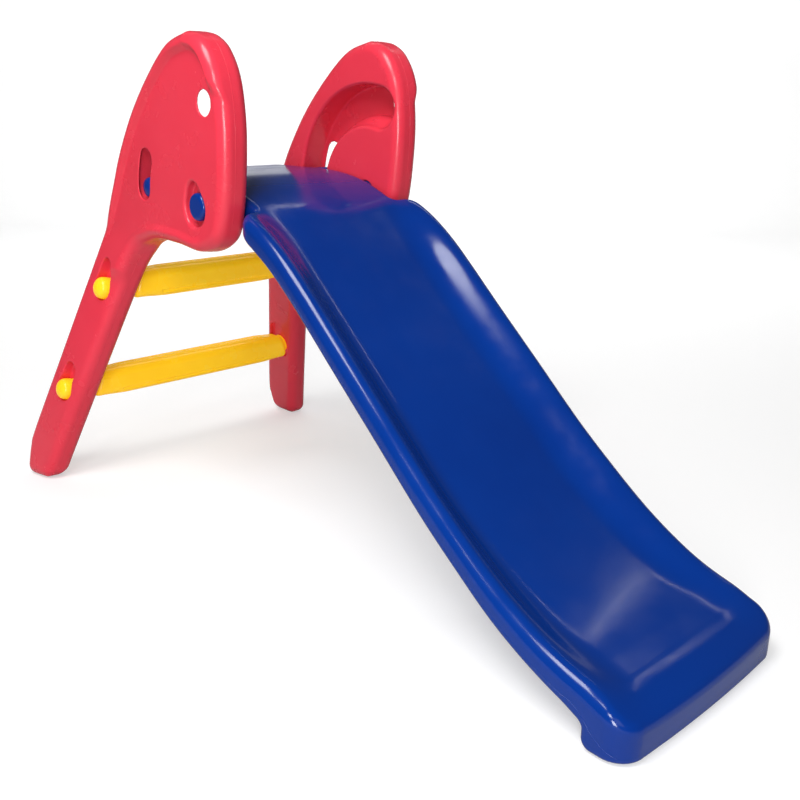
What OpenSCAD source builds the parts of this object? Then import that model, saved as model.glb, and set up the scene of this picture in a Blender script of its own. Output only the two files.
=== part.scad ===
// Toddler slide that folds: a blow-moulded chute with a deck, two side panels and two ladder rungs.
// Millimetres. +X runs down the slide, +Z is up, the origin is on the floor under the middle of the slide.

/* [Pieces] */
// every separate moulding of the slide
// which moulding to draw

/* [Side panels] */
// thickness of a hollow side panel
panel_t = 50; // [46:1:54]
// radius of the rounded edge all round a side panel
panel_edge_r = 16; // [10:1:18]
// half of the distance between the middle planes of the two panel heads
panel_mid_y = 154; // [154:1:160]
// how far the legs splay outwards below the head
leg_splay = 14.7; // [8:0.1:18]
// depth of the sunken field on the outer face
field_depth = 3; // [0:0.5:4]
// radius of the hole near the top of a panel
grip_hole_r = 18; // [16.5:0.5:20]

/* [Fold joint] */
// radius of the front peg that the chute turns on
pivot_peg_r = 19; // [16:0.5:20]
// radial play of the front peg in its hole
pivot_play = 0.4; // [0.3:0.1:1]
// radius of the rear peg that slides in the curved groove
lock_peg_r = 16; // [13:0.5:16]
// distance from the front peg to the rear peg
lock_radius = 139; // [136:1:140]
// angle of the rear peg when the slide is open, from +X towards +Z about the front peg
lock_open_deg = 174; // [174:0.5:176]
// how far the chute turns between open and folded
fold_deg = 93; // [88:1:94]
// width of the curved groove on the inner face
groove_w = 46; // [40:1:48]
// depth of the curved groove
groove_depth = 43; // [36:1:44]

/* [Chute] */
// half width of the deck between the panels
deck_half_w = 126; // [120:1:127]
// half width over the two rails
rail_half_w = 160; // [150:1:164]
// depth of the bed below the rail crests, on the straight run, measured upright
bed_drop = 41; // [34:1:44]
// height of a rail's outer wall, measured upright
rail_h = 40; // [34:1:44]
// thickness of the double wall of the bed, measured upright
bed_t = 20; // [16:1:24]
// how far the front edge of the exit bows forward
exit_bow = 4; // [0:1:10]

/* [Rungs] */
// depth of a rung's tread, front to back
rung_depth = 48; // [42:1:50]
// height of a rung
rung_h = 48; // [38:1:49]
// radius of the neck that passes through a leg
neck_r = 12.5; // [10:0.5:13]
// radius of the round knob at a rung's end
knob_r = 17.5; // [16:0.5:18.5]

/* [Hidden] */
$fn = 64;
e = 0.01;
// centre of the whole slide along X, from the rear foot's own zero
x_mid = 535;
// front peg, the axis of the fold
pivot = [382, 488];
// lower limit of the flat head; the legs bend out over a short arc below it
bend_top = 438;
bend_len = 30;
bend_r = bend_len / (leg_splay * PI / 180);
panel_out = panel_mid_y + panel_t / 2;
panel_in = panel_mid_y - panel_t / 2;
// rung centres
rung_x = [124, 49];
rung_z = [341.5, 166];

red = [0.86, 0.2, 0.26];
blue = [0.02, 0.2, 0.55];
yellow = [0.97, 0.79, 0.12];

// smooth curve through a list of points, of any dimension
function cr(a, b, c, d, t) = 0.5 * (2 * b + (c - a) * t + (2 * a - 5 * b + 4 * c - d) * t * t
  + (3 * b - a - 3 * c + d) * t * t * t);
function smooth(p, n) = let (m = len(p) - 1)
  [for (i = [0:m - 1], k = [0:n - 1])
    cr(i == 0 ? 2 * p[0] - p[1] : p[i - 1], p[i], p[i + 1], i + 2 > m ? 2 * p[m] - p[m - 1] : p[i + 2], k / n),
   p[m]];
function clamp(t) = max(0, min(1, t));
function ease(t) = let (u = clamp(t)) u * u * (3 - 2 * u);

// ---------- side panel ----------

// rear edge of the panel from the foot to the top, in the plane of the panel
rear_edge = [
  [-40, -30], [-41, 0], [-42, 30], [-36, 62], [19, 200], [57, 295], [69, 325], [78, 347], [85, 365],
  [91, 380], [97, 395], [102, 408], [107, 420], [114, 435], [128, 462], [150, 500], [180, 551],
  [224, 608], [276, 658], [330, 697], [380, 711]
];
// front edge from the foot, under the round chin that clears the chute, and up to the top
front_edge = [
  [14, -30], [27, 0], [39, 30], [51, 60], [108, 200], [149, 300], [171, 350], [189, 385], [214, 412],
  [240, 424], [275, 431], [330, 430], [382, 426], [426, 444], [443, 480], [453, 540], [456, 600],
  [448, 655], [428, 690], [405, 706], [380, 711]
];
edge_steps = 3;
rear = smooth(rear_edge, edge_steps);
front = smooth(front_edge, edge_steps);
rows = len(rear);
outline = concat(front, [for (i = [rows - 2:-1:0]) rear[i]]);
count = len(outline);

function tangent(i) = let (a = outline[max(i - 1, 0)], b = outline[min(i + 1, count - 1)]) (b - a) / norm(b - a);
// inward normal: the outline runs anticlockwise seen from the outer side of the right panel
normals = [for (i = [0:count - 1]) let (t = tangent(i))
  i == 0 ? [-1, 0.2] : i == count - 1 ? [1, 0.2] : [-t[1], t[0]]];

// a point x along, s up the plane and d outwards, bent onto the splayed leg
function bent(x, s, d) = let (
    a = leg_splay * clamp((bend_top - s) / bend_len),
    rest = max(0, bend_top - bend_len - s),
    y = panel_mid_y + bend_r * (1 - cos(a)) + rest * sin(leg_splay),
    z = (s > bend_top ? s : bend_top - bend_r * sin(a)) - rest * cos(leg_splay))
  [x, -(y + d * cos(a)), z + d * sin(a)];

// levels of the skin from the outer field to the inner face: inset from the edge and distance outwards
round_steps = [90, 64, 42, 21, 0];
levels = concat(
  [[panel_edge_r + 9, panel_t / 2 - field_depth, 1]],
  [[panel_edge_r + 3, panel_t / 2, 0]],
  [for (a = round_steps)
    [panel_edge_r * (1 - cos(a)), panel_t / 2 - panel_edge_r * (1 - sin(a)), 0]],
  [for (i = [len(round_steps) - 1:-1:0]) let (a = round_steps[i])
    [panel_edge_r * (1 - cos(a)), -panel_t / 2 + panel_edge_r * (1 - sin(a)), 0]]);

function skin_point(i, l) = let (
    p = outline[i] + normals[i] * l[0],
    sink = l[2] * field_depth * (1 - ease((p[1] - 380) / 50)))
  bent(p[0], p[1], l[1] + sink);

module panel_skin() {
  n = len(levels);
  points = [for (l = levels, i = [0:count - 1]) skin_point(i, l)];
  bands = [for (j = [0:n - 2], i = [0:count - 1]) let (k = (i + 1) % count, a = j * count, b = a + count)
    each [[a + i, b + k, b + i], [a + i, a + k, b + k]]];
  outer = [for (i = [0:rows - 2]) let (a = i, b = i + 1, c = (2 * rows - 2) - i, d = c - 1)
    each (b == d ? [[a, c, b]] : [[a, c, b], [b, c, d]])];
  inner = [for (f = outer) [for (v = [2:-1:0]) f[v] + (n - 1) * count]];
  polyhedron(points = points, faces = concat(bands, outer, inner), convexity = 10);
}

// children drawn in the panel's plane, x along, -y outwards and z up the leg, set onto the splayed leg
module in_leg() {
  translate([0, -(panel_mid_y + bend_r * (1 - cos(leg_splay))), bend_top - bend_r * sin(leg_splay)])
    rotate([-leg_splay, 0, 0])
      translate([0, 0, -(bend_top - bend_len)])
        children();
}

// upright cylinder turned to run outwards through a panel, from depth y0 to y1 along Y
module across(r, y0, y1) {
  translate([0, y1, 0])
    rotate([90, 0, 0])
      cylinder(r = r, h = y1 - y0);
}

module peg_at(a) {
  translate([pivot[0] + lock_radius * cos(a), 0, pivot[1] + lock_radius * sin(a)])
    children();
}

// outline of a round-ended slot along an arc about the front peg, between two angles
function turned(r, a) = [r * cos(a), r * sin(a)];
function slot_outline(w, a0, a1) = concat(
  [for (i = [0:24]) turned(lock_radius + w / 2, a0 + (a1 - a0) * i / 24)],
  [for (i = [1:11]) turned(lock_radius, a1) + turned(w / 2, a1 + 15 * i)],
  [for (i = [24:-1:0]) turned(lock_radius - w / 2, a0 + (a1 - a0) * i / 24)],
  [for (i = [1:11]) turned(lock_radius, a0) - turned(w / 2, a0 + 15 * i)]);

module arc_slot(w, a0, a1, y0, y1) {
  translate([pivot[0], y1, pivot[1]])
    rotate([90, 0, 0])
      linear_extrude(y1 - y0)
        polygon(slot_outline(w, a0, a1));
}

module teardrop(r_low, r_high, rise, lean, y0, y1) {
  across(r_low, y0, y1);
  translate([lean, 0, rise])
    across(r_high, y0, y1);
  translate([0, y1, 0])
    rotate([90, 0, 0])
      linear_extrude(y1 - y0)
        polygon([[-r_low, 0], [r_low, 0], [lean + r_high, rise], [lean - r_high, rise]]);
}

// height up the leg of a point at height z and distance d outwards
function leg_s(z, d) = bend_top - bend_len
  - (bend_top - bend_r * sin(leg_splay) + d * sin(leg_splay) - z) / cos(leg_splay);

module keyhole(i) {
  // pocket for the knob on the outer face, with a narrower lobe above it
  in_leg()
    translate([rung_x[i], 0, leg_s(rung_z[i], panel_t / 2)])
      teardrop(knob_r + 1.5, knob_r - 4.5, 34, 9, -panel_t, -panel_t / 2 + 18);
  // level hole for the neck
  translate([rung_x[i], 0, rung_z[i]])
    across(neck_r + 0.3, -panel_out - 90, -panel_in);
  // oval pocket round the rung's shoulder on the inner face
  in_leg()
    translate([rung_x[i], 0, leg_s(rung_z[i], -panel_t / 2)])
      teardrop(knob_r + 7.5, knob_r + 4.5, 25, 5, panel_t / 2 - 7, panel_t);
}

module side_panel() {
  difference() {
    panel_skin();
    // bearing hole and its egg-shaped well
    translate([pivot[0], 0, pivot[1]]) {
      across(pivot_peg_r + pivot_play, -panel_out - 5, -panel_in + 5);
      translate([-3, 0, -2])
        across(26, -panel_out - 5, -panel_out + 17);
      translate([-6, 0, 16])
        across(18, -panel_out - 5, -panel_out + 17);
    }
    // groove that the rear peg travels in, open only at the two ends
    arc_slot(groove_w, lock_open_deg - fold_deg, lock_open_deg, -panel_in - groove_depth, -panel_in + 5);
    arc_slot(2 * lock_peg_r + 6.4, lock_open_deg - 17, lock_open_deg, -panel_out - 5, -panel_in);
    peg_at(lock_open_deg - fold_deg)
      across(grip_hole_r, -panel_out - 5, -panel_in);
    for (i = [0, 1])
      keyhole(i);
    // flat under the foot
    translate([-200, -500, -100])
      cube([900, 500, 100]);
  }
}

module right_side_panel() {
  color(red)
    translate([-x_mid, 0, 0])
      side_panel();
}

module left_side_panel() {
  color(red)
    translate([-x_mid, 0, 0])
      mirror([0, 1, 0])
        side_panel();
}

// ---------- rungs ----------

// where the plane of a leg crosses a height given along the leg, at distance d outwards
function leg_y(s, d) = -bent(0, s, d)[1];
function leg_z(s, d) = bent(0, s, d)[2];

module bar_outline(d, h, r) {
  square([d - 2 * r, h], center = true);
  square([d, h - 2 * r], center = true);
  for (x = [-1, 1], y = [-1, 1])
    translate([x * (d / 2 - r), y * (h / 2 - r)])
      circle(r = r);
}

module bar(d, h, r, half) {
  translate([0, half, 0])
    rotate([90, 0, 0])
      linear_extrude(2 * half)
        bar_outline(d, h, r);
}

module rung_end(i) {
  // shoulder that sits in the inner pocket
  in_leg()
    translate([rung_x[i], 0, leg_s(rung_z[i], -panel_t / 2)])
      across(knob_r - 0.5, panel_t / 2 - 6.5, panel_t / 2 + 12);
  // level neck through the leg
  translate([rung_x[i], 0, rung_z[i]])
    across(neck_r, -leg_y(leg_s(rung_z[i], 13), 13), 20 - leg_y(leg_s(rung_z[i], -25), -25));
  // domed knob in the outer pocket
  in_leg()
    translate([rung_x[i], -11, leg_s(rung_z[i], panel_t / 2)])
      intersection() {
        sphere(r = knob_r + 3);
        across(knob_r, -panel_t / 2, 3);
      }
}

module rung(i) {
  inner = leg_y(leg_s(rung_z[i], -panel_t / 2), -panel_t / 2);
  // the bar stands a little forward of its knobs
  translate([rung_x[i] + 5, 0, rung_z[i]])
    difference() {
      union() {
        bar(rung_depth, rung_h, 15, inner - 12);
        bar(rung_depth - 4, rung_h - 4, 14, inner - 8);
        bar(rung_depth - 12, rung_h - 10, 12, inner - 5);
      }
      // two shallow grip grooves along the tread
      for (x = [-7, 7])
        translate([x, 0, rung_h / 2 + 2.2])
          rotate([90, 0, 0])
            cylinder(r = 4, h = 2 * inner - 60, center = true);
    }
  rung_end(i);
  mirror([0, 1, 0])
    rung_end(i);
}

module upper_rung() {
  color(yellow)
    translate([-x_mid, 0, 0])
      rung(0);
}

module lower_rung() {
  color(yellow)
    translate([-x_mid, 0, 0])
      rung(1);
}

// ---------- chute ----------

// stations down the slide: x, bed, rail crest, half width, underside of the rail, underside of the bed
stations = [
  [164, 503, 503, 0.94, 484, 484],
  [168, 511, 511, 0.98, 475, 475],
  [178, 516, 516, 1, 470, 470],
  [215, 520, 520, 1, 468, 468],
  [285, 521, 521, 1, 468, 468],
  [335, 519, 519, 1, 468, 468],
  [372, 514, 514, 1, 467, 466],
  [405, 506, 506, 1, 464, 461],
  [432, 496, 496, 1, 459, 452],
  [450, 488, 490, 1.01, 456, 446],
  [460, 481, 488, 1.6, 453, 440],
  [472, 472, 484, 1.94, 449, 435],
  [495, 452, 474, 2, 437, 422],
  [520, 430, 460, 2, 422, 404],
  [550, 401, 439.5, 2, 400, 377],
  [585, 370, 411, 2, 371, 346],
  [655, 308.3, 349.3, 2, 309.3, 284.3],
  [740, 233.6, 274.6, 2, 234.6, 209.6],
  [800, 181, 221.5, 2, 181.5, 157],
  [835, 154, 193, 2, 153, 130.5],
  [870, 131.5, 166, 2, 126.5, 108.5],
  [910, 109, 137, 2, 97, 86],
  [955, 88, 109.5, 2, 70, 65.5],
  [1005, 71.5, 86, 2, 47, 49],
  [1034, 66, 77, 2, 36, 43],
  [1048, 63.5, 73, 2, 6, 10],
  [1064, 60.5, 67, 2, 2, 2],
  [1080, 56, 59.5, 2, 2, 2],
  [1092, 50.5, 52, 2, 2, 2],
  [1101, 45, 45.5, 2, 2, 2],
  [1107, 38, 38, 2, 3, 3],
  [1110, 31, 31, 2, 7, 7]
];

// half of the cross-section, middle to side: share of the half width, share of the rise to the crest, drop
upper = [
  [0, 0, 0], [0.5, 0, 0], [0.61, 0.04, 0], [0.69, 0.18, 0], [0.765, 0.46, 0],
  [0.82, 0.73, 0], [0.87, 0.93, 0], [0.92, 1, 0], [0.96, 1, 1.9], [0.985, 1, 5.5],
  [1, 1, 13]
];
// the same for the underside, side to middle: share of the half width, share of the way to the bed, rise
lower = [
  [1, 0, 9], [0.985, 0, 2.5], [0.95, 0, 0], [0.87, 0, 0], [0.83, 0.25, 0],
  [0.78, 0.8, 0], [0.72, 1, 0], [0, 1, 0]
];
half_ring = concat([for (u = upper) [u, 0]], [for (l = lower) [l, 1]]);
ring = concat(half_ring, [for (i = [len(half_ring) - 2:-1:1]) [[-half_ring[i][0][0], half_ring[i][0][1], half_ring[i][0][2]], half_ring[i][1]]]);
sides = len(ring);

function half_w(k) = k <= 1 ? deck_half_w * k : deck_half_w + (rail_half_w - deck_half_w) * (k - 1);
function corner(y, r) = let (u = max(0, abs(y) - (rail_half_w - r))) r - sqrt(max(0, r * r - u * u));
function deck_corner(y, r) = let (u = max(0, abs(y) - (deck_half_w - r))) r - sqrt(max(0, r * r - u * u));
function ring_point(s, q) = let (
    v = q[0],
    y = v[0] * half_w(s[3]),
    fit = clamp(s[3] - 1),
    bed = s[1] + (41 - bed_drop) * fit * clamp((s[2] - s[1]) / 41),
    side_z = s[4] + (40 - rail_h) * fit * clamp((1034 - s[0]) / 60),
    mid_z = s[5] + (24 - bed_t) * fit * clamp((1034 - s[0]) / 60) + bed - s[1],
    room = clamp((s[2] - side_z) / 30),
    z = q[1] == 0 ? bed + (s[2] - bed) * v[1] - v[2] * room : side_z + (mid_z - side_z) * v[1] + v[2] * room,
    front_w = ease((s[0] - 1000) / 112),
    rear_w = 1 - ease((s[0] - 164) / 40),
    x = s[0] - front_w * (exit_bow * pow(y / 131, 2) + corner(y, 30)) + rear_w * deck_corner(y, 22))
  [x - x_mid, y, z];

module chute_skin() {
  n = len(stations);
  skin = [for (s = stations, q = ring) ring_point(s, q)];
  middle = [for (s = [stations[0], stations[n - 1]]) [s[0] - x_mid, 0, (s[1] + s[4]) / 2]];
  bands = [for (j = [0:n - 2], i = [0:sides - 1]) let (k = (i + 1) % sides, a = j * sides, b = a + sides)
    each [[a + i, b + k, b + i], [a + i, a + k, b + k]]];
  // each end is closed by a fan about its middle
  first = [for (i = [0:sides - 1]) [n * sides, (i + 1) % sides, i]];
  last = [for (i = [0:sides - 1]) let (a = (n - 1) * sides) [n * sides + 1, a + i, a + (i + 1) % sides]];
  polyhedron(points = concat(skin, middle), faces = concat(bands, first, last), convexity = 10);
}

module exit_lug() {
  translate([1062 - x_mid, -145, 0])
    linear_extrude(36)
      union() {
        translate([6, 0])
          square([24, 46]);
        translate([0, 6])
          square([36, 34]);
        for (x = [6, 30], y = [6, 40])
          translate([x, y])
            circle(r = 6);
      }
}

module pegs() {
  translate([-x_mid, 0, 0]) {
    translate([pivot[0], 0, pivot[1]])
      across(pivot_peg_r, -panel_out + 5, -deck_half_w + 16);
    peg_at(lock_open_deg)
      across(lock_peg_r, -panel_in - groove_depth + 1, -deck_half_w + 16);
  }
}

module chute() {
  color(blue)
    union() {
      chute_skin();
      pegs();
      mirror([0, 1, 0])
        pegs();
      exit_lug();
      mirror([0, 1, 0])
        exit_lug();
    }
}

chute();
right_side_panel();
left_side_panel();
upper_rung();
lower_rung();
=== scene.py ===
"""Looks of a folding toddler slide: glossy blow-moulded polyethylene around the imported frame.

Every moulding is one soft-edged shape, described as a distance function in millimetres and turned into
a mesh whose points are settled onto it. Lengths are those of the CAD part, except for a few details that
differ by some millimetres, such as the rim of the panels, the slot, the round hole and the rear peg."""

import math

import bpy
import numpy as np
from mathutils import Matrix, Vector


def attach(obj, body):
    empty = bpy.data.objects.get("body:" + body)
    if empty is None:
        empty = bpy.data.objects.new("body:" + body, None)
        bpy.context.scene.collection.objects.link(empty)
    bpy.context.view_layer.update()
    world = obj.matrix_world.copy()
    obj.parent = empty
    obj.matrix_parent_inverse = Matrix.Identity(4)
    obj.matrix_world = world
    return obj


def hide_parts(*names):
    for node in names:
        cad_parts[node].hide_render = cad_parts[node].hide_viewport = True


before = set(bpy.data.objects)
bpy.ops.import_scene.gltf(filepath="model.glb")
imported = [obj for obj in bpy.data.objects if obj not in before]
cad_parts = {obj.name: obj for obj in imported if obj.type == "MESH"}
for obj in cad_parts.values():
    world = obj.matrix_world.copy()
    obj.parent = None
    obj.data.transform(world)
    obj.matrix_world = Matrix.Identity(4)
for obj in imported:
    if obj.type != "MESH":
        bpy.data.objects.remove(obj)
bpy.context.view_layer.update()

X_MID = 535.0
MM = 0.001

# ---------- camera, first, at the photograph's viewing angle ----------

AZIMUTH, ELEVATION, ROLL = math.radians(46.7), math.radians(18.42), math.radians(0.76)
# lens in millimetres, place in metres
LENS = 41.9
CAMERA_PLACE = (0.966, -0.844, 0.642)
reach = math.cos(ELEVATION)
back = Vector((math.sin(AZIMUTH) * reach, -math.cos(AZIMUTH) * reach, math.sin(ELEVATION)))
level = Vector((math.cos(AZIMUTH), math.sin(AZIMUTH), 0.0))
upright = back.cross(level)
cam_x = math.cos(ROLL) * level + math.sin(ROLL) * upright
cam_y = -math.sin(ROLL) * level + math.cos(ROLL) * upright
camera = bpy.data.objects.new("camera", bpy.data.cameras.new("camera"))
bpy.context.scene.collection.objects.link(camera)
camera.data.sensor_width = 36.0
camera.data.lens = LENS
rows = [(cam_x[i], cam_y[i], back[i], CAMERA_PLACE[i]) for i in range(3)]
camera.matrix_world = Matrix((*rows, (0, 0, 0, 1)))
bpy.context.scene.camera = camera

# ---------- distance functions ----------


def ease(t):
    """0 to 1, smooth at both ends."""
    t = np.clip(t, 0, 1)
    return t * t * (3 - 2 * t)


def rmax(a, b, r):
    """Both at once, with an outer edge rounded to radius r."""
    return np.minimum(np.maximum(a, b), -r) + np.hypot(np.maximum(a + r, 0), np.maximum(b + r, 0))


def rmin(a, b, r):
    """Either one, with a fillet of radius r between them."""
    return -rmax(-a, -b, r)


def cut(a, b, r):
    """a with b taken out of it, and a lip of radius r."""
    return rmax(a, -b, r)


def curve(points, steps):
    """A smooth curve through control points, a few points a step."""
    p = np.array(points, float)
    p = np.vstack([2 * p[0] - p[1], p, 2 * p[-1] - p[-2]])
    t = np.arange(steps)[:, None] / steps
    out = []
    for i in range(1, len(p) - 2):
        a, b, c, d = p[i - 1], p[i], p[i + 1], p[i + 2]
        square, cube = 2 * a - 5 * b + 4 * c - d, 3 * b - a - 3 * c + d
        out.append(0.5 * (2 * b + (c - a) * t + square * t**2 + cube * t**3))
    return np.vstack(out + [p[-2:-1]])


def spline(xs, ys):
    """A natural cubic through the points, straight on beyond them."""
    xs, ys = np.array(xs, float), np.array(ys, float)
    n = len(xs)
    h, slope = np.diff(xs), np.diff(ys) / np.diff(xs)
    m = np.zeros((n, n))
    right = np.zeros(n)
    m[0, 0] = m[-1, -1] = 1
    for i in range(1, n - 1):
        m[i, i - 1 : i + 2] = h[i - 1], 2 * (h[i - 1] + h[i]), h[i]
        right[i] = 6 * (slope[i] - slope[i - 1])
    k = np.linalg.solve(m, right)
    first = slope[0] - h[0] * k[1] / 6
    last = slope[-1] + h[-1] * k[-2] / 6

    def at(x):
        i = np.clip(np.searchsorted(xs, x) - 1, 0, n - 2)
        a, b, w = xs[i + 1] - x, x - xs[i], h[i]
        y = (k[i] * a**3 + k[i + 1] * b**3) / (6 * w)
        y = y + (ys[i] / w - k[i] * w / 6) * a + (ys[i + 1] / w - k[i + 1] * w / 6) * b
        y = np.where(x < xs[0], ys[0] + first * (x - xs[0]), y)
        return np.where(x > xs[-1], ys[-1] + last * (x - xs[-1]), y)

    return at


class Plan:
    """Signed distance to a closed outline, kept on a grid and read back as a smooth surface."""

    def __init__(self, outline, low, high, step):
        self.low, self.step = np.array(low, float), step
        nx, ny = (int(math.ceil((high[i] - low[i]) / step)) + 4 for i in (0, 1))
        columns, lines = low[0] + step * (np.arange(nx) - 1), low[1] + step * (np.arange(ny) - 1)
        x, y = np.meshgrid(columns, lines, indexing="ij")
        best = np.full(x.shape, 1e9)
        inside = np.zeros(x.shape, bool)
        for p, q in zip(outline, np.roll(outline, -1, axis=0)):
            d = q - p
            t = np.clip(((x - p[0]) * d[0] + (y - p[1]) * d[1]) / (d @ d + 1e-12), 0, 1)
            best = np.minimum(best, (x - p[0] - t * d[0]) ** 2 + (y - p[1] - t * d[1]) ** 2)
            if p[1] != q[1]:
                crossing = (p[1] > y) != (q[1] > y)
                inside ^= crossing & (x < p[0] + (y - p[1]) * d[0] / d[1])
        self.grid = np.sqrt(best) * np.where(inside, -1, 1)

    def __call__(self, x, y):
        u, v = (x - self.low[0]) / self.step + 1, (y - self.low[1]) / self.step + 1
        i = np.clip(np.floor(u).astype(int), 1, self.grid.shape[0] - 3)
        j = np.clip(np.floor(v).astype(int), 1, self.grid.shape[1] - 3)
        wu, wv = self.weights(u - i), self.weights(v - j)
        total = 0
        for a in range(4):
            for b in range(4):
                total = total + wu[a] * wv[b] * self.grid[i + a - 1, j + b - 1]
        return total

    @staticmethod
    def weights(t):
        """Shares of four neighbours in a cubic B-spline."""
        inner = (3 * t**3 - 6 * t**2 + 4) / 6, (-3 * t**3 + 3 * t**2 + 3 * t + 1) / 6
        return (1 - t) ** 3 / 6, *inner, t**3 / 6


def gradient(f, p, e=0.2):
    """Slope of f at the points p, by central differences over e millimetres."""
    g = np.empty_like(p)
    for a in range(3):
        d = np.zeros(3)
        d[a] = e
        g[:, a] = (f(*(p + d).T) - f(*(p - d).T)) / (2 * e)
    return g


# fine cells across a coarse one, how near in coarse cells the surface has to be, coarse cells read at once
COARSE, REACH, BATCH = 4, 1.35, 4000


def surface(f, low, high, step, rounds=3):
    """Points, quads and normals of the surface f = 0, in a box. The points are spread evenly over it.

    f is read on a coarse grid first, and on the fine one only where the surface can be near."""
    low, high = np.array(low, float), np.array(high, float)
    wide = COARSE * step
    n = np.ceil((high - low) / wide).astype(int)
    coarse = [low[a] + wide * (np.arange(n[a]) + 0.5) for a in range(3)]
    cx, cy, cz = np.meshgrid(*coarse, indexing="ij")
    rough = f(cx.ravel(), cy.ravel(), cz.ravel()).reshape(n)
    field = np.repeat(np.repeat(np.repeat(rough, COARSE, 0), COARSE, 1), COARSE, 2)
    field = np.pad(field, ((0, 1),) * 3, mode="edge").astype(float)
    near = np.argwhere(np.abs(rough) < wide * REACH)
    offsets = np.stack(np.meshgrid(*[np.arange(COARSE + 1)] * 3, indexing="ij"), -1).reshape(-1, 3)
    for part in np.array_split(near, max(1, len(near) // BATCH)):
        ijk = (part[:, None] * COARSE + offsets[None]).reshape(-1, 3)
        p = low + step * ijk
        field[ijk[:, 0], ijk[:, 1], ijk[:, 2]] = f(*p.T)
    # one point in each cell that the surface crosses, in the middle of its crossings
    inside = field < 0
    count = inside.astype(np.int8)
    for axis in range(3):
        size = count.shape[axis]
        count = np.take(count, range(size - 1), axis) + np.take(count, range(1, size), axis)
    cells = np.argwhere((count > 0) & (count < 8))
    index = np.full(count.shape, -1, np.int64)
    index[tuple(cells.T)] = np.arange(len(cells))
    total, hits = np.zeros((len(cells), 3)), np.zeros(len(cells))
    for axis in range(3):
        others = [a for a in range(3) if a != axis]
        for s in (0, 1):
            for t in (0, 1):
                start = np.zeros(3, int)
                start[others[0]], start[others[1]] = s, t
                end = start.copy()
                end[axis] = 1
                a = field[tuple((cells + start).T)]
                b = field[tuple((cells + end).T)]
                crossing = (a < 0) != (b < 0)
                share = np.where(crossing, a / np.where(crossing, a - b, 1), 0)
                point = (cells + start).astype(float)
                point[:, axis] += share
                total += point * crossing[:, None]
                hits += crossing
    points = low + step * total / hits[:, None]
    # one quad round each grid edge that the surface crosses
    quads = []
    for axis in range(3):
        u, v = (axis + 1) % 3, (axis + 2) % 3
        first = [slice(None)] * 3
        second = [slice(None)] * 3
        first[axis], second[axis] = slice(None, -1), slice(1, None)
        a, b = inside[tuple(first)], inside[tuple(second)]
        edges = np.argwhere(a != b)
        for side in (u, v):
            edges = edges[(edges[:, side] > 0) & (edges[:, side] < count.shape[side])]
        ring = []
        for s, t in ((-1, -1), (0, -1), (0, 0), (-1, 0)):
            c = edges.copy()
            c[:, u] += s
            c[:, v] += t
            ring.append(index[tuple(c.T)])
        ring = np.stack(ring, 1)
        outward = a[tuple(edges.T)]
        quads.append(np.where(outward[:, None], ring, ring[:, ::-1]))
    quads = np.concatenate(quads)

    def settle(p, times):
        for _ in range(times):
            g = gradient(f, p)
            move = g * (f(*p.T) / np.maximum((g**2).sum(1), 0.05))[:, None]
            size = np.linalg.norm(move, axis=1, keepdims=True)
            p = p - move * np.minimum(1, step / np.maximum(size, 1e-9))
        return p

    # onto the surface, then evened out along it
    points = settle(points, 2)
    a, b = quads.ravel(), np.roll(quads, -1, axis=1).ravel()
    degree = np.bincount(a, minlength=len(points)) + np.bincount(b, minlength=len(points))
    for _ in range(rounds):
        ahead = np.stack([np.bincount(a, points[b, k], len(points)) for k in range(3)], 1)
        behind = np.stack([np.bincount(b, points[a, k], len(points)) for k in range(3)], 1)
        shift = (ahead + behind) / degree[:, None] - points
        g = gradient(f, points)
        g /= np.linalg.norm(g, axis=1, keepdims=True)
        points = settle(points + 0.6 * (shift - g * (shift * g).sum(1, keepdims=True)), 1)
    normals = gradient(f, points)
    normals /= np.linalg.norm(normals, axis=1, keepdims=True)
    return points, quads, normals


def shifted(shape, x):
    """A mesh moved along the slide."""
    points, quads, normals = shape
    return points + (x, 0.0, 0.0), quads, normals


def mirrored(shape):
    """A mesh on the other side of the slide's middle plane."""
    points, quads, normals = shape
    return points * (1, -1, 1), quads[:, ::-1], normals * (1, -1, 1)


def build(name, shape, kind, node=None):
    """A piece from a mesh in millimetres of the row frame, standing for its CAD node where it has one."""
    points, quads, normals = shape
    body, slot, material = kind
    mesh = bpy.data.meshes.new(name)
    mesh.vertices.add(len(points))
    mesh.vertices.foreach_set("co", (points * MM).astype(np.float32).ravel())
    mesh.loops.add(quads.size)
    mesh.loops.foreach_set("vertex_index", quads.astype(np.int32).ravel())
    mesh.polygons.add(len(quads))
    mesh.polygons.foreach_set("loop_start", np.arange(0, quads.size, 4, dtype=np.int32))
    mesh.update(calc_edges=True)
    mesh.validate()
    mesh.polygons.foreach_set("use_smooth", np.ones(len(mesh.polygons), bool))
    mesh.normals_split_custom_set_from_vertices(normals.astype(np.float32).tolist())
    piece = bpy.data.objects.new(name, mesh)
    bpy.context.scene.collection.objects.link(piece)
    mesh.materials.append(material)
    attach(piece, body)
    if node:
        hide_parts(node)


# ---------- side panel, drawn flat: x along, s up the panel, d outwards ----------

# the panel, its middle plane's distance from the slide's, and the bend that splays its leg
PANEL_T, EDGE_R, PANEL_Y, SPLAY = 50.0, 16.0, 154.0, math.radians(14.7)
HALF = PANEL_T / 2
BEND_TOP, BEND_LEN = 438.0, 30.0
BEND_R = BEND_LEN / SPLAY
# front peg, and the rear peg's radius of travel, angle when open and degrees of fold
PIVOT = (382.0, 488.0)
LOCK_R, OPEN, FOLD = 139.0, 174.0, 93.0
# groove, slot and round hole; the hole lies a few degrees past the end of the peg's travel
GROOVE_W, GROOVE_FLOOR, SLOT_W, SLOT_SPAN = 45.6, 17.6, 33.5, 17.0
GRIP_R, GRIP_PAST = 16.5, 5.0
RIM_UP, FIELD_DOWN = 2.5, 4.5
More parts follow.
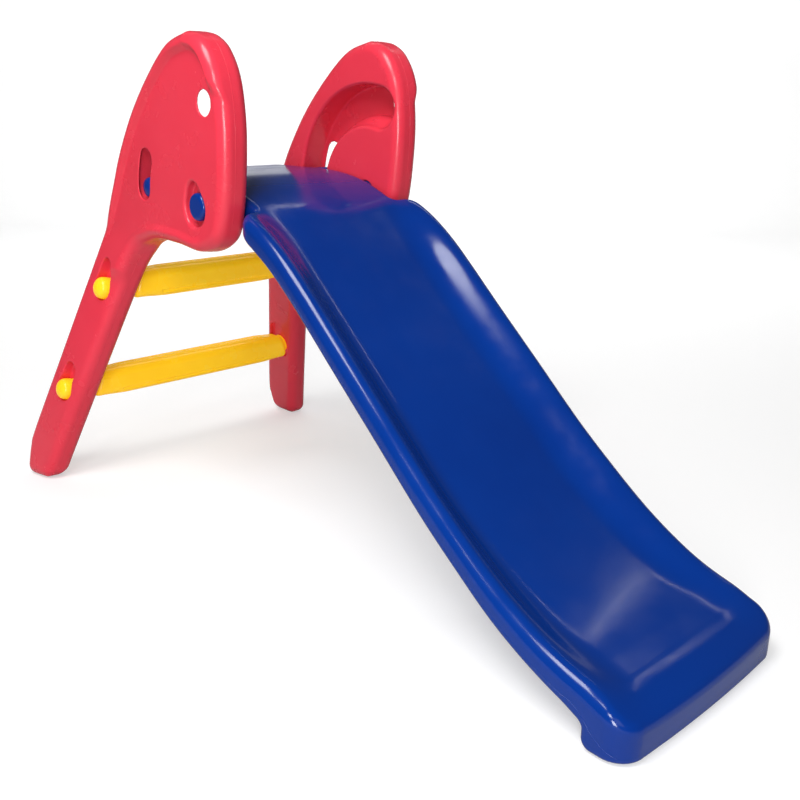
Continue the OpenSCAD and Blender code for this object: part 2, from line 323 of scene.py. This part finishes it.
# rungs, upper one first
RUNG_X, RUNG_Z = (124.0, 49.0), (341.5, 166.0)
NECK_R, NECK_PLAY, SHOULDER_R, KNOB_R = 12.5, 0.3, 17.0, 17.5
BEARING_R, BEARING_PLAY, LOCK_PEG_R = 19.0, 0.4, 15.3
# mark of the blowing pin, and the foot's clearance from the floor and rounding
PIN, FOOT_GAP, FOOT_R = (34, 75), 0.2, 18.0
rear_edge = [
    (-40, -30), (-41, 0), (-42, 30), (-36, 62), (19, 200), (57, 295), (69, 325), (78, 347), (85, 365),
    (91, 380), (97, 395), (102, 408), (107, 420), (114, 435), (128, 462), (150, 500), (180, 551),
    (224, 608), (276, 658), (330, 697), (380, 711),
]  # fmt: skip
front_edge = [
    (14, -30), (27, 0), (39, 30), (51, 60), (108, 200), (149, 300), (171, 350), (189, 385), (214, 412),
    (240, 424), (275, 431), (330, 430), (382, 426), (426, 444), (443, 480), (453, 540), (456, 600),
    (448, 655), (428, 690), (405, 706), (380, 711),
]  # fmt: skip
outline = np.vstack([curve(front_edge, 10), curve(rear_edge, 10)[::-1][1:]])
edge_distance = Plan(outline, (-90, -70), (505, 760), 3.0)


def unbend(y, z):
    """Height up the leg and depth outwards of a point beside the straight part of a splayed leg."""
    a = y - (PANEL_Y + BEND_R * (1 - math.cos(SPLAY)))
    b = z - (BEND_TOP - BEND_R * math.sin(SPLAY))
    sine, cosine = math.sin(SPLAY), math.cos(SPLAY)
    return BEND_TOP - BEND_LEN - (a * sine - b * cosine), a * cosine + b * sine


def bend(p):
    """Points of the flat panel set onto the slide's right side."""
    x, s, d = p.T
    a = SPLAY * np.clip((BEND_TOP - s) / BEND_LEN, 0, 1)
    rest = np.maximum(0, BEND_TOP - BEND_LEN - s)
    y = PANEL_Y + BEND_R * (1 - np.cos(a)) + rest * math.sin(SPLAY)
    z = np.where(s > BEND_TOP, s, BEND_TOP - BEND_R * np.sin(a)) - rest * math.cos(SPLAY)
    return np.stack([x - X_MID, -(y + d * np.cos(a)), z + d * np.sin(a)], 1)


def bend_normals(p, n):
    """Normals of the flat panel turned with the bend."""
    a = SPLAY * np.clip((BEND_TOP - p[:, 1]) / BEND_LEN, 0, 1)
    sine, cosine = np.sin(a), np.cos(a)
    return np.stack([n[:, 0], n[:, 1] * sine - n[:, 2] * cosine, n[:, 1] * cosine + n[:, 2] * sine], 1)


def bent(shape):
    """A mesh of the flat panel set onto the slide's right side."""
    points, quads, normals = shape
    return bend(points), quads, bend_normals(points, normals)


def keyhole(x, s, low_r, high_r, rise, lean):
    """A round well with a narrower round-topped lobe above it."""
    t = np.clip((x * lean + s * rise) / (lean * lean + rise * rise), 0, 1)
    return rmin(np.hypot(x, s) - low_r, np.hypot(x - lean * t, s - rise * t) - high_r, 8.0)


def arc(x, s, width, a0, a1, radius=LOCK_R):
    """A round-ended slot about the front peg."""
    r, a = np.hypot(x, s), np.degrees(np.arctan2(s, x)) % 360
    along = np.where((a >= a0) & (a <= a1), np.abs(r - radius), 1e9)
    for end in (a0, a1):
        e = math.radians(end)
        along = np.minimum(along, np.hypot(x - radius * math.cos(e), s - radius * math.sin(e)))
    return along - width / 2


def leg_height(s, d):
    """Height of a point up the leg, at depth d outwards."""
    bend_end = BEND_TOP - BEND_R * math.sin(SPLAY)
    return bend_end - (BEND_TOP - BEND_LEN - s) * math.cos(SPLAY) + d * math.sin(SPLAY)


def leg_s(z, d):
    """Height up the leg of a point at height z, at depth d outwards."""
    return BEND_TOP - BEND_LEN - (leg_height(BEND_TOP - BEND_LEN, d) - z) / math.cos(SPLAY)


def panel(x, s, d):
    """The whole side panel, flat."""
    edge = edge_distance(x, s)
    head = ease((s - 400) / 90)
    # sunken field inside a raised rim, which runs up the rear and over the top to above the round hole
    past = 0.62 * (x - 418) + 0.785 * (s - 662)
    rim = (1 - ease((-edge - 13) / 11)) * (1 - ease((x - 372) / 24) * ease((6 - past) / 18))
    relief = head * ((RIM_UP + FIELD_DOWN) * rim - FIELD_DOWN)
    f = rmax(edge, np.abs(d) - HALF - np.where(d > 0, relief, 0), EDGE_R)
    # softer facet along the front of the leg, fading out below the head
    front = (x - 51 - 0.408 * (s - 60)) / 1.08
    f = rmax(f, (d - HALF + 0.3 * (front + 40)) / 1.044 - 300 * ease((s - 330) / 120) ** 2, 12.0)
    px, ps = x - PIVOT[0], s - PIVOT[1]
    # bearing hole and its egg-shaped well on the outer face
    f = cut(f, np.hypot(px, ps) - BEARING_R - BEARING_PLAY, 2.0)
    f = cut(f, rmax(keyhole(px + 3, ps + 2, 25.0, 16.0, 19.0, -3.0), 8.0 - d, 3.0), 5.0)
    # groove that the rear peg travels in, its inner wall sloped
    low = OPEN - FOLD - GRIP_PAST
    widen = 7.5 * ease((10.0 - d) / 35)
    groove = arc(px, ps, GROOVE_W + 2 * widen, low, OPEN, LOCK_R - widen)
    f = cut(f, rmax(groove, d - GROOVE_FLOOR, 3.0), 0.4 + 4.6 * ease((8.0 - d) / 12))
    # slot at the open end, round hole at the folded end
    f = cut(f, arc(px, ps, SLOT_W, OPEN - SLOT_SPAN, OPEN), 1.5)
    e = math.radians(low)
    f = cut(f, np.hypot(px - LOCK_R * math.cos(e), ps - LOCK_R * math.sin(e)) - GRIP_R, 1.5)
    # keyholes for the rungs: a pocket for the knob, a level hole for the neck, a pocket for the shoulder
    for rx, rz in zip(RUNG_X, RUNG_Z):
        outer = keyhole(x - rx, s - leg_s(rz, HALF), 19.0, 14.5, 34.0, 12.0)
        f = cut(f, rmax(outer, 7.0 - d, 2.5), 2.0)
        neck = np.hypot(x - rx, leg_height(s, d) - rz) - NECK_R - NECK_PLAY
        f = cut(f, neck + 50 * ease((s - 390) / 20), 1.0)
        inner = keyhole(x - rx, s - leg_s(rz, -HALF), 25.0, 22.0, 25.0, 5.0)
        f = cut(f, rmax(inner, d + 18.0, 2.0), 2.5)
    # blowing pin, and the foot, flat on the floor
    f = f - 1.2 * np.exp(-((x - PIN[0]) ** 2 + (s - PIN[1]) ** 2) / 7) * (d > 10)
    return rmax(f, np.where(s < 200, FOOT_GAP - leg_height(s, d), -200.0), FOOT_R)


# ---------- rungs: x across the tread from the rung's own middle, y and z of the slide ----------


def rung(i):
    """Distance function of a rung, its height, and where the leg's inner face stops its tread."""
    height = RUNG_Z[i]
    base = PANEL_Y + BEND_R * (1 - math.cos(SPLAY))
    s_in, s_out = leg_s(height, -HALF), leg_s(height, HALF)
    inner = base + (BEND_TOP - BEND_LEN - s_in) * math.sin(SPLAY) - HALF * math.cos(SPLAY)

    def f(x, y, z):
        y = np.abs(y)
        h = z - height
        # full front, and tapered a little towards the legs
        taper = 2.0 * ease((y - inner + 60) / 50)
        across = np.abs(x - 5)
        bar = np.hypot(np.maximum(across - 9 + taper, 0), np.maximum(np.abs(h) - 9 + taper, 0))
        bar = bar + np.minimum(np.maximum(across - 9, np.abs(h) - 9), 0) - 15
        # shallow grip grooves along the tread and the step where the mould halves meet
        inside = ease((inner - 34 - y) / 12)
        for gx, gh, gr in ((-2.0, 25.6, 3.6), (12.0, 25.6, 3.6), (29.0, -14.5, 3.0)):
            bar = np.maximum(bar, (gr - np.hypot(x - gx, h - gh)) * inside - 40 * (1 - inside))
        bar = rmax(bar, y - inner + 1.5 + 0.26 * h, 11.0)
        s, d = unbend(y, z)
        shoulder = rmax(np.hypot(x, s - s_in) - SHOULDER_R, np.abs(d + 27.75) - 9.25, 2.0)
        neck = rmax(np.hypot(x, h) - NECK_R, np.abs(y - inner - 18) - 38, 0.5)
        neck = np.maximum(neck, d - 13.0)
        radial = np.hypot(x, s - s_out)
        # domed knob in the outer pocket
        knob = rmax(rmax(np.hypot(radial, d - 11.0) - 20.5, radial - KNOB_R, 3.0), 8.0 - d, 2.5)
        return rmin(rmin(bar, shoulder, 4.0), rmin(neck, knob, 1.0), 1.0)

    return f, height, inner


# ---------- chute, in the same lengths as its stations in the CAD part ----------

# along the slide: x, middle of the bed, rail crest, underside of the rail, underside of the bed
STATIONS = [
    (164, 520, 520, 468, 468), (215, 520, 520, 468, 468), (285, 521, 521, 468, 468),
    (335, 519, 519, 468, 468), (372, 514, 514, 467, 466), (405, 506, 506, 464, 461),
    (432, 496, 496.5, 459, 452), (450, 487, 491, 456, 446), (472, 471, 484, 449, 435),
    (495, 452, 474, 437, 422), (520, 430, 460, 422, 404), (550, 402, 439.5, 400, 380),
    (585, 370, 411, 371, 349), (655, 308.3, 349.3, 309.3, 288.3), (740, 233.6, 274.6, 234.6, 213.6),
    (800, 181, 221.5, 181.5, 161), (835, 154, 193, 153, 134), (870, 131.5, 166, 126.5, 112),
    (910, 109, 137, 97, 89), (955, 88, 109.5, 70, 68), (1005, 71.5, 86, 47, 50),
    (1034, 66, 77, 36, 43), (1048, 63.5, 73, 31, 40), (1064, 60.5, 67, 27, 38),
    (1080, 56, 59.5, 22, 34), (1092, 50.5, 52, 18, 30), (1101, 45.5, 46, 16, 28),
    (1110, 40, 40, 14, 26),
]  # fmt: skip
CHUTE_START, CHUTE_END = STATIONS[0][0], STATIONS[-1][0]
# half widths at the deck and at the rails
DECK_Y, RAIL_Y = 126.0, 160.0
# across the slide: the front peg, and the rear peg's domed end and root
FRONT_PEG_MID, FRONT_PEG_HALF = 143.5, 30.5
DOME_MID, DOME_R, REAR_PEG_ROOT = 139.3, 32.0, 120.0
# place of a lug, and the middle and half of its height
LUG_X, LUG_Y, LUG_MID, LUG_HALF = 1080, 122, 16.2, 16
station_x = [s[0] for s in STATIONS]
bed, crest, rail_under, bed_under = (spline(station_x, [s[k] for s in STATIONS]) for k in (1, 2, 3, 4))


def lip(x):
    """Share of the faint step before the exit, by place along the slide."""
    return ease((x - 1030) / 30) * ease((1066 - x) / 8)


def chute(x, y, z):
    """The whole chute moulding, alike on both sides of y = 0."""
    y = np.abs(y)
    share = np.clip((y / RAIL_Y - 0.5) / 0.42, 0, 1)
    b, c = bed(x), crest(x)
    lean = 1 / np.sqrt(1 + ((bed(x + 1) - bed(x - 1)) / 2) ** 2)
    top = (z - b - (c - b) * ease(share**1.5)) * lean
    ru, bu = rail_under(x), bed_under(x)
    under = (ru + (bu - ru) * ease((139 - y) / 24) - z) * lean
    # block under the exit
    under = rmin(under, rmax(1049 - x, 2 - z, 13.0), 6.0)
    # seen from above: a narrow deck, full width from the rails on, and an exit edge bowed a little
    front = x + 4 * (y / 131) ** 2 - CHUTE_END
    plan = rmin(rmax(y - DECK_Y, CHUTE_START - x, 22.0), rmax(y - RAIL_Y, 452 - x, 30.0), 10.0)
    plan = rmax(plan, front, 30.0)
    # faint step where the bed meets the lip
    top = top + 0.3 * lip(x) * ease((118 - y) / 20)
    f = rmax(top, plan, 13 + 4 * ease((x - 500) / 150) - 9 * ease((x - 1062) / 44))
    f = rmax(f, under, 8.0 - 3.0 * ease((x - 1020) / 30))
    # front peg, which the ladder turns on, and the rear peg with its domed end
    side = np.hypot(x - PIVOT[0], z - PIVOT[1]) - BEARING_R
    peg = rmax(side, np.abs(y - FRONT_PEG_MID) - FRONT_PEG_HALF, 5.0)
    f = rmin(f, peg, 3.0)
    e = math.radians(OPEN)
    from_peg = np.hypot(x - PIVOT[0] - LOCK_R * math.cos(e), z - PIVOT[1] - LOCK_R * math.sin(e))
    dome = np.hypot(from_peg, y - DOME_MID) - DOME_R
    peg = rmax(rmax(from_peg - LOCK_PEG_R, dome, 5.0), REAR_PEG_ROOT - y, 5.0)
    f = rmin(f, peg, 3.0)
    # lug that the exit stands on
    lug = np.hypot(np.maximum(np.abs(x - LUG_X) - 12, 0), np.maximum(np.abs(y - LUG_Y) - 17, 0)) - 6
    lug = rmax(lug, np.abs(z - LUG_MID) - LUG_HALF, 2.0)
    return rmin(f, lug, 3.0)


# ---------- materials ----------


def plastic(name, base, dark, light, roughness, subsurface, radius, painted_glow=0.0):
    """Moulded polyethylene: soft gloss, a faint orange peel, slow colour drift and fine scuffs, and a
    painted glow where one is given.
    """
    material = bpy.data.materials.new(name)
    material.use_nodes = True
    nodes, links = material.node_tree.nodes, material.node_tree.links
    shader = nodes["Principled BSDF"]
    place = nodes.new("ShaderNodeTexCoord")

    def noise(scale, detail, rough=0.5, stretch=None):
        n = nodes.new("ShaderNodeTexNoise")
        n.inputs["Scale"].default_value = scale
        n.inputs["Detail"].default_value = detail
        n.inputs["Roughness"].default_value = rough
        if stretch:
            m = nodes.new("ShaderNodeMapping")
            m.inputs["Scale"].default_value = stretch
            links.new(place.outputs["Object"], m.inputs["Vector"])
            links.new(m.outputs["Vector"], n.inputs["Vector"])
        else:
            links.new(place.outputs["Object"], n.inputs["Vector"])
        return n.outputs["Fac"]

    def ramp(value, low, high, a=0.0, b=1.0):
        r = nodes.new("ShaderNodeMapRange")
        r.interpolation_type = "SMOOTHSTEP"
        for k, v in (("From Min", low), ("From Max", high), ("To Min", a), ("To Max", b)):
            r.inputs[k].default_value = v
        links.new(value, r.inputs["Value"])
        return r.outputs["Result"]

    def mix(fac, a, b):
        m = nodes.new("ShaderNodeMix")
        m.data_type = "RGBA"
        links.new(fac, m.inputs["Factor"])
        for socket, value in ((m.inputs["A"], a), (m.inputs["B"], b)):
            if isinstance(value, tuple):
                socket.default_value = (*value, 1)
            else:
                links.new(value, socket)
        return m.outputs["Result"]

    def math_node(op, a, b):
        m = nodes.new("ShaderNodeMath")
        m.operation = op
        for socket, value in zip(m.inputs, (a, b)):
            if isinstance(value, (int, float)):
                socket.default_value = value
            else:
                links.new(value, socket)
        return m.outputs["Value"]

    drift = ramp(noise(3.1, 2.0), 0.3, 0.7)
    colour = mix(drift, dark, base)
    clouds = ramp(noise(19.0, 3.0), 0.3, 0.8, 0.0, 0.2)
    colour = mix(clouds, colour, light)
    scuffs = ramp(noise(210.0, 4.0, 0.7, (1.0, 0.16, 0.6)), 0.55, 0.85)
    patch = ramp(noise(7.0, 2.0), 0.35, 0.8)
    scuffs = math_node("MULTIPLY", scuffs, patch)
    links.new(colour, shader.inputs["Base Color"])
    shine = ramp(noise(26.0, 4.0), 0.3, 0.75, roughness - 0.03, roughness + 0.05)
    shine = math_node("ADD", shine, math_node("MULTIPLY", scuffs, 0.02))
    links.new(shine, shader.inputs["Roughness"])
    shader.inputs["IOR"].default_value = 1.5
    shader.inputs["Specular IOR Level"].default_value = 0.36
    shader.inputs["Subsurface Weight"].default_value = subsurface
    shader.inputs["Subsurface Radius"].default_value = radius
    shader.inputs["Subsurface Scale"].default_value = 0.01
    # painted glow: emission in the base colour, light that no lamp gives, strength set by the glow
    # argument
    links.new(colour, shader.inputs["Emission Color"])
    shader.inputs["Emission Strength"].default_value = painted_glow
    peel = nodes.new("ShaderNodeBump")
    peel.inputs["Strength"].default_value = 0.06
    peel.inputs["Distance"].default_value = 0.0004
    links.new(noise(62.0, 2.0, 0.4), peel.inputs["Height"])
    fine = nodes.new("ShaderNodeBump")
    fine.inputs["Strength"].default_value = 0.12
    fine.inputs["Distance"].default_value = 0.00006
    links.new(noise(900.0, 3.0, 0.6), fine.inputs["Height"])
    links.new(peel.outputs["Normal"], fine.inputs["Normal"])
    links.new(fine.outputs["Normal"], shader.inputs["Normal"])
    return material


# each with its base, darker and lighter colour, roughness, subsurface weight and radius
red = plastic(
    "red_polyethylene", (0.77, 0.041, 0.074), (0.72, 0.035, 0.064), (0.82, 0.056, 0.090),
    0.24, 0.10, (1.0, 0.2, 0.15),
)  # fmt: skip
blue = plastic(
    "blue_polyethylene", (0.0005, 0.030, 0.235), (0.0005, 0.025, 0.205), (0.001, 0.037, 0.260),
    0.15, 0.0, (0.2, 0.3, 1.0),
)  # fmt: skip
# painted light: the yellow glows a little, an emission in its own colour that stands in for light falling
# on it, to make it brighter
yellow = plastic(
    "yellow_polyethylene", (0.93, 0.56, 0.012), (0.89, 0.50, 0.010), (0.95, 0.62, 0.02),
    0.26, 0.15, (1.0, 0.6, 0.1), painted_glow=0.34,
)  # fmt: skip

# body, material slot and material of each kind of piece
CHUTE = ("chute", "chute_plastic", blue)
PANEL = ("ladder", "panel_plastic", red)
RUNG = ("ladder", "rung_plastic", yellow)

# ---------- parting lines, left where the mould halves meet ----------


def bead(path, f, radius):
    """A fine ridge laid along a path on the surface f = 0, four-sided and closed at its ends."""
    path = np.array(path, float)
    for _ in range(4):
        g = gradient(f, path)
        path = path - g * (f(*path.T) / (g**2).sum(1))[:, None]
    out = gradient(f, path)
    out /= np.linalg.norm(out, axis=1, keepdims=True)
    along = np.gradient(path, axis=0)
    side = np.cross(along, out)
    side /= np.linalg.norm(side, axis=1, keepdims=True)
    # sunk by a third of its radius, and thinner at its two ends
    size = radius * np.ones(len(path))
    size[[0, -1]] *= 0.3
    rays = [out, side, -out, -side]
    points = np.stack([path - 0.3 * radius * out + size[:, None] * ray for ray in rays], 1).reshape(-1, 3)
    normals = np.stack(rays, 1).reshape(-1, 3)
    last = 4 * len(path) - 4
    quads = []
    for i in range(0, last, 4):
        for k in range(4):
            after = (k + 1) % 4
            quads.append((i + k, i + after, i + 4 + after, i + 4 + k))
    quads += [(3, 2, 1, 0), (last, last + 1, last + 2, last + 3)]
    return points, np.array(quads), normals


# ---------- pieces ----------

CHUTE_SEAM_R, PANEL_SEAM_R = 0.6, 0.5

step = 2.5
shell = surface(chute, (158, -178, -6), (1118, 178, 530), step)
build("chute_shell", shifted(shell, -X_MID), CHUTE, "chute")
# the parting line runs down the side of the rail and round under the exit's corner
route = [(x, RAIL_Y, crest(x) - 29) for x in np.arange(470, 1030, 12.0)]
corner = [(1034, RAIL_Y, 50), (1050, RAIL_Y, 39), (1063, RAIL_Y, 25), (1079, 158, 15), (1094, 152, 8)]
route += [tuple(q) for q in curve(corner, 4)]
seam = shifted(bead(route, chute, CHUTE_SEAM_R), -X_MID)
build("chute_right_seam", mirrored(seam), CHUTE)
build("chute_left_seam", seam, CHUTE)

step = 2.0
shell = bent(surface(panel, (-52, -45, -29), (470, 722, 31), step))
build("right_panel_shell", shell, PANEL, "right_side_panel")
build("left_panel_shell", mirrored(shell), PANEL, "left_side_panel")
# the parting line follows the panel's outline and stops above the foot
route = [(x, s, 0.0) for x, s in outline if leg_height(s, 0) > 14 and x > -39][::2]
seam = bent(bead(route, panel, PANEL_SEAM_R))
build("right_panel_seam", seam, PANEL)
build("left_panel_seam", mirrored(seam), PANEL)

for i, name in enumerate(("upper_rung", "lower_rung")):
    f, height, inner = rung(i)
    low, high = (-24, -inner - 68, height - 29), (34, inner + 68, height + 29)
    bar = surface(f, low, high, step * 0.75)
    build(name + "_bar", shifted(bar, RUNG_X[i] - X_MID), RUNG, name)

# ---------- floor, backdrop and soft studio light ----------

# in metres: the floor runs away from the camera under the slide, then sweeps up into the wall
FLOOR_COLOUR, FLOOR_ROUGHNESS, FLOOR_GLOW, FLOOR_DROP = (0.6, 0.6, 0.6), 0.7, 0.46, 0.0005
FLOOR_NEAR, SWEEP_AT, SWEEP_R, WALL_TOP, WALL_HALF = -6.0, 3.2, 0.8, 1.35, 9
SKY = 0.09


def floor_material():
    """A pale matt floor. Its glow, only in what the camera sees of it, adds no bounce to the slide."""
    material = bpy.data.materials.new("floor")
    material.use_nodes = True
    nodes, links = material.node_tree.nodes, material.node_tree.links
    shader = nodes["Principled BSDF"]
    shader.inputs["Base Color"].default_value = (*FLOOR_COLOUR, 1)
    shader.inputs["Roughness"].default_value = FLOOR_ROUGHNESS
    shader.inputs["Specular IOR Level"].default_value = 0.2
    shader.inputs["Emission Color"].default_value = (1, 1, 1, 1)
    path = nodes.new("ShaderNodeLightPath")
    scale = nodes.new("ShaderNodeMath")
    scale.operation = "MULTIPLY"
    scale.inputs[1].default_value = FLOOR_GLOW
    links.new(path.outputs["Is Camera Ray"], scale.inputs[0])
    links.new(scale.outputs["Value"], shader.inputs["Emission Strength"])
    return material


# a pale floor that curves up into a low pale wall, square to the camera's line of sight
away = Vector((-math.sin(AZIMUTH), math.cos(AZIMUTH), 0))
profile = [(FLOOR_NEAR, 0.0), (SWEEP_AT, 0.0)]
for a in np.linspace(0.1, math.pi / 2, 14):
    profile.append((SWEEP_AT + SWEEP_R * math.sin(a), SWEEP_R - SWEEP_R * math.cos(a)))
profile.append((SWEEP_AT + SWEEP_R, WALL_TOP))
verts = []
for u, h in profile:
    for v in (-WALL_HALF, WALL_HALF):
        verts.append(away * u + level * v + Vector((0, 0, h - FLOOR_DROP)))
floor_mesh = bpy.data.meshes.new("floor")
faces = [(2 * i, 2 * i + 1, 2 * i + 3, 2 * i + 2) for i in range(len(profile) - 1)]
floor_mesh.from_pydata(verts, [], faces)
floor_mesh.polygons.foreach_set("use_smooth", [True] * len(floor_mesh.polygons))
floor = bpy.data.objects.new("floor", floor_mesh)
floor_mesh.materials.append(floor_material())
bpy.context.scene.collection.objects.link(floor)


def area(name, place, target, size, power):
    """A white area light, places and sizes in metres, power in watts."""
    light = bpy.data.lights.new(name, "AREA")
    light.shape = "RECTANGLE"
    light.size, light.size_y = size
    light.energy = power
    lamp = bpy.data.objects.new(name, light)
    lamp.location = place
    lamp.rotation_euler = (Vector(target) - Vector(place)).to_track_quat("-Z", "Y").to_euler()
    bpy.context.scene.collection.objects.link(lamp)


area("overhead", (0.3, -1.1, 2.3), (0, 0, 0.3), (0.9, 0.9), 38)
area("front", (2.6, -1.2, 1.5), (0, 0, 0.3), (1.2, 1.2), 5)
area("camera_side", (1.6, -1.9, 2.0), (-0.3, 0, 0.3), (0.7, 0.7), 27)
area("low", (1.7, -1.75, 0.55), (-0.3, 0, 0.35), (0.5, 0.7), 25)
# one for the wall alone, from above
area("wall", away * 1.8 + Vector((0, 0, 2.6)), away * 4.0 + Vector((0, 0, 0.4)), (5.0, 0.6), 100)

world = bpy.data.worlds.new("studio")
bpy.context.scene.world = world
world.use_nodes = True
background = world.node_tree.nodes["Background"]
background.inputs["Color"].default_value = (1, 1, 1, 1)
background.inputs["Strength"].default_value = SKY
bpy.context.scene.view_settings.view_transform = "Standard"

bpy.context.view_layer.update()
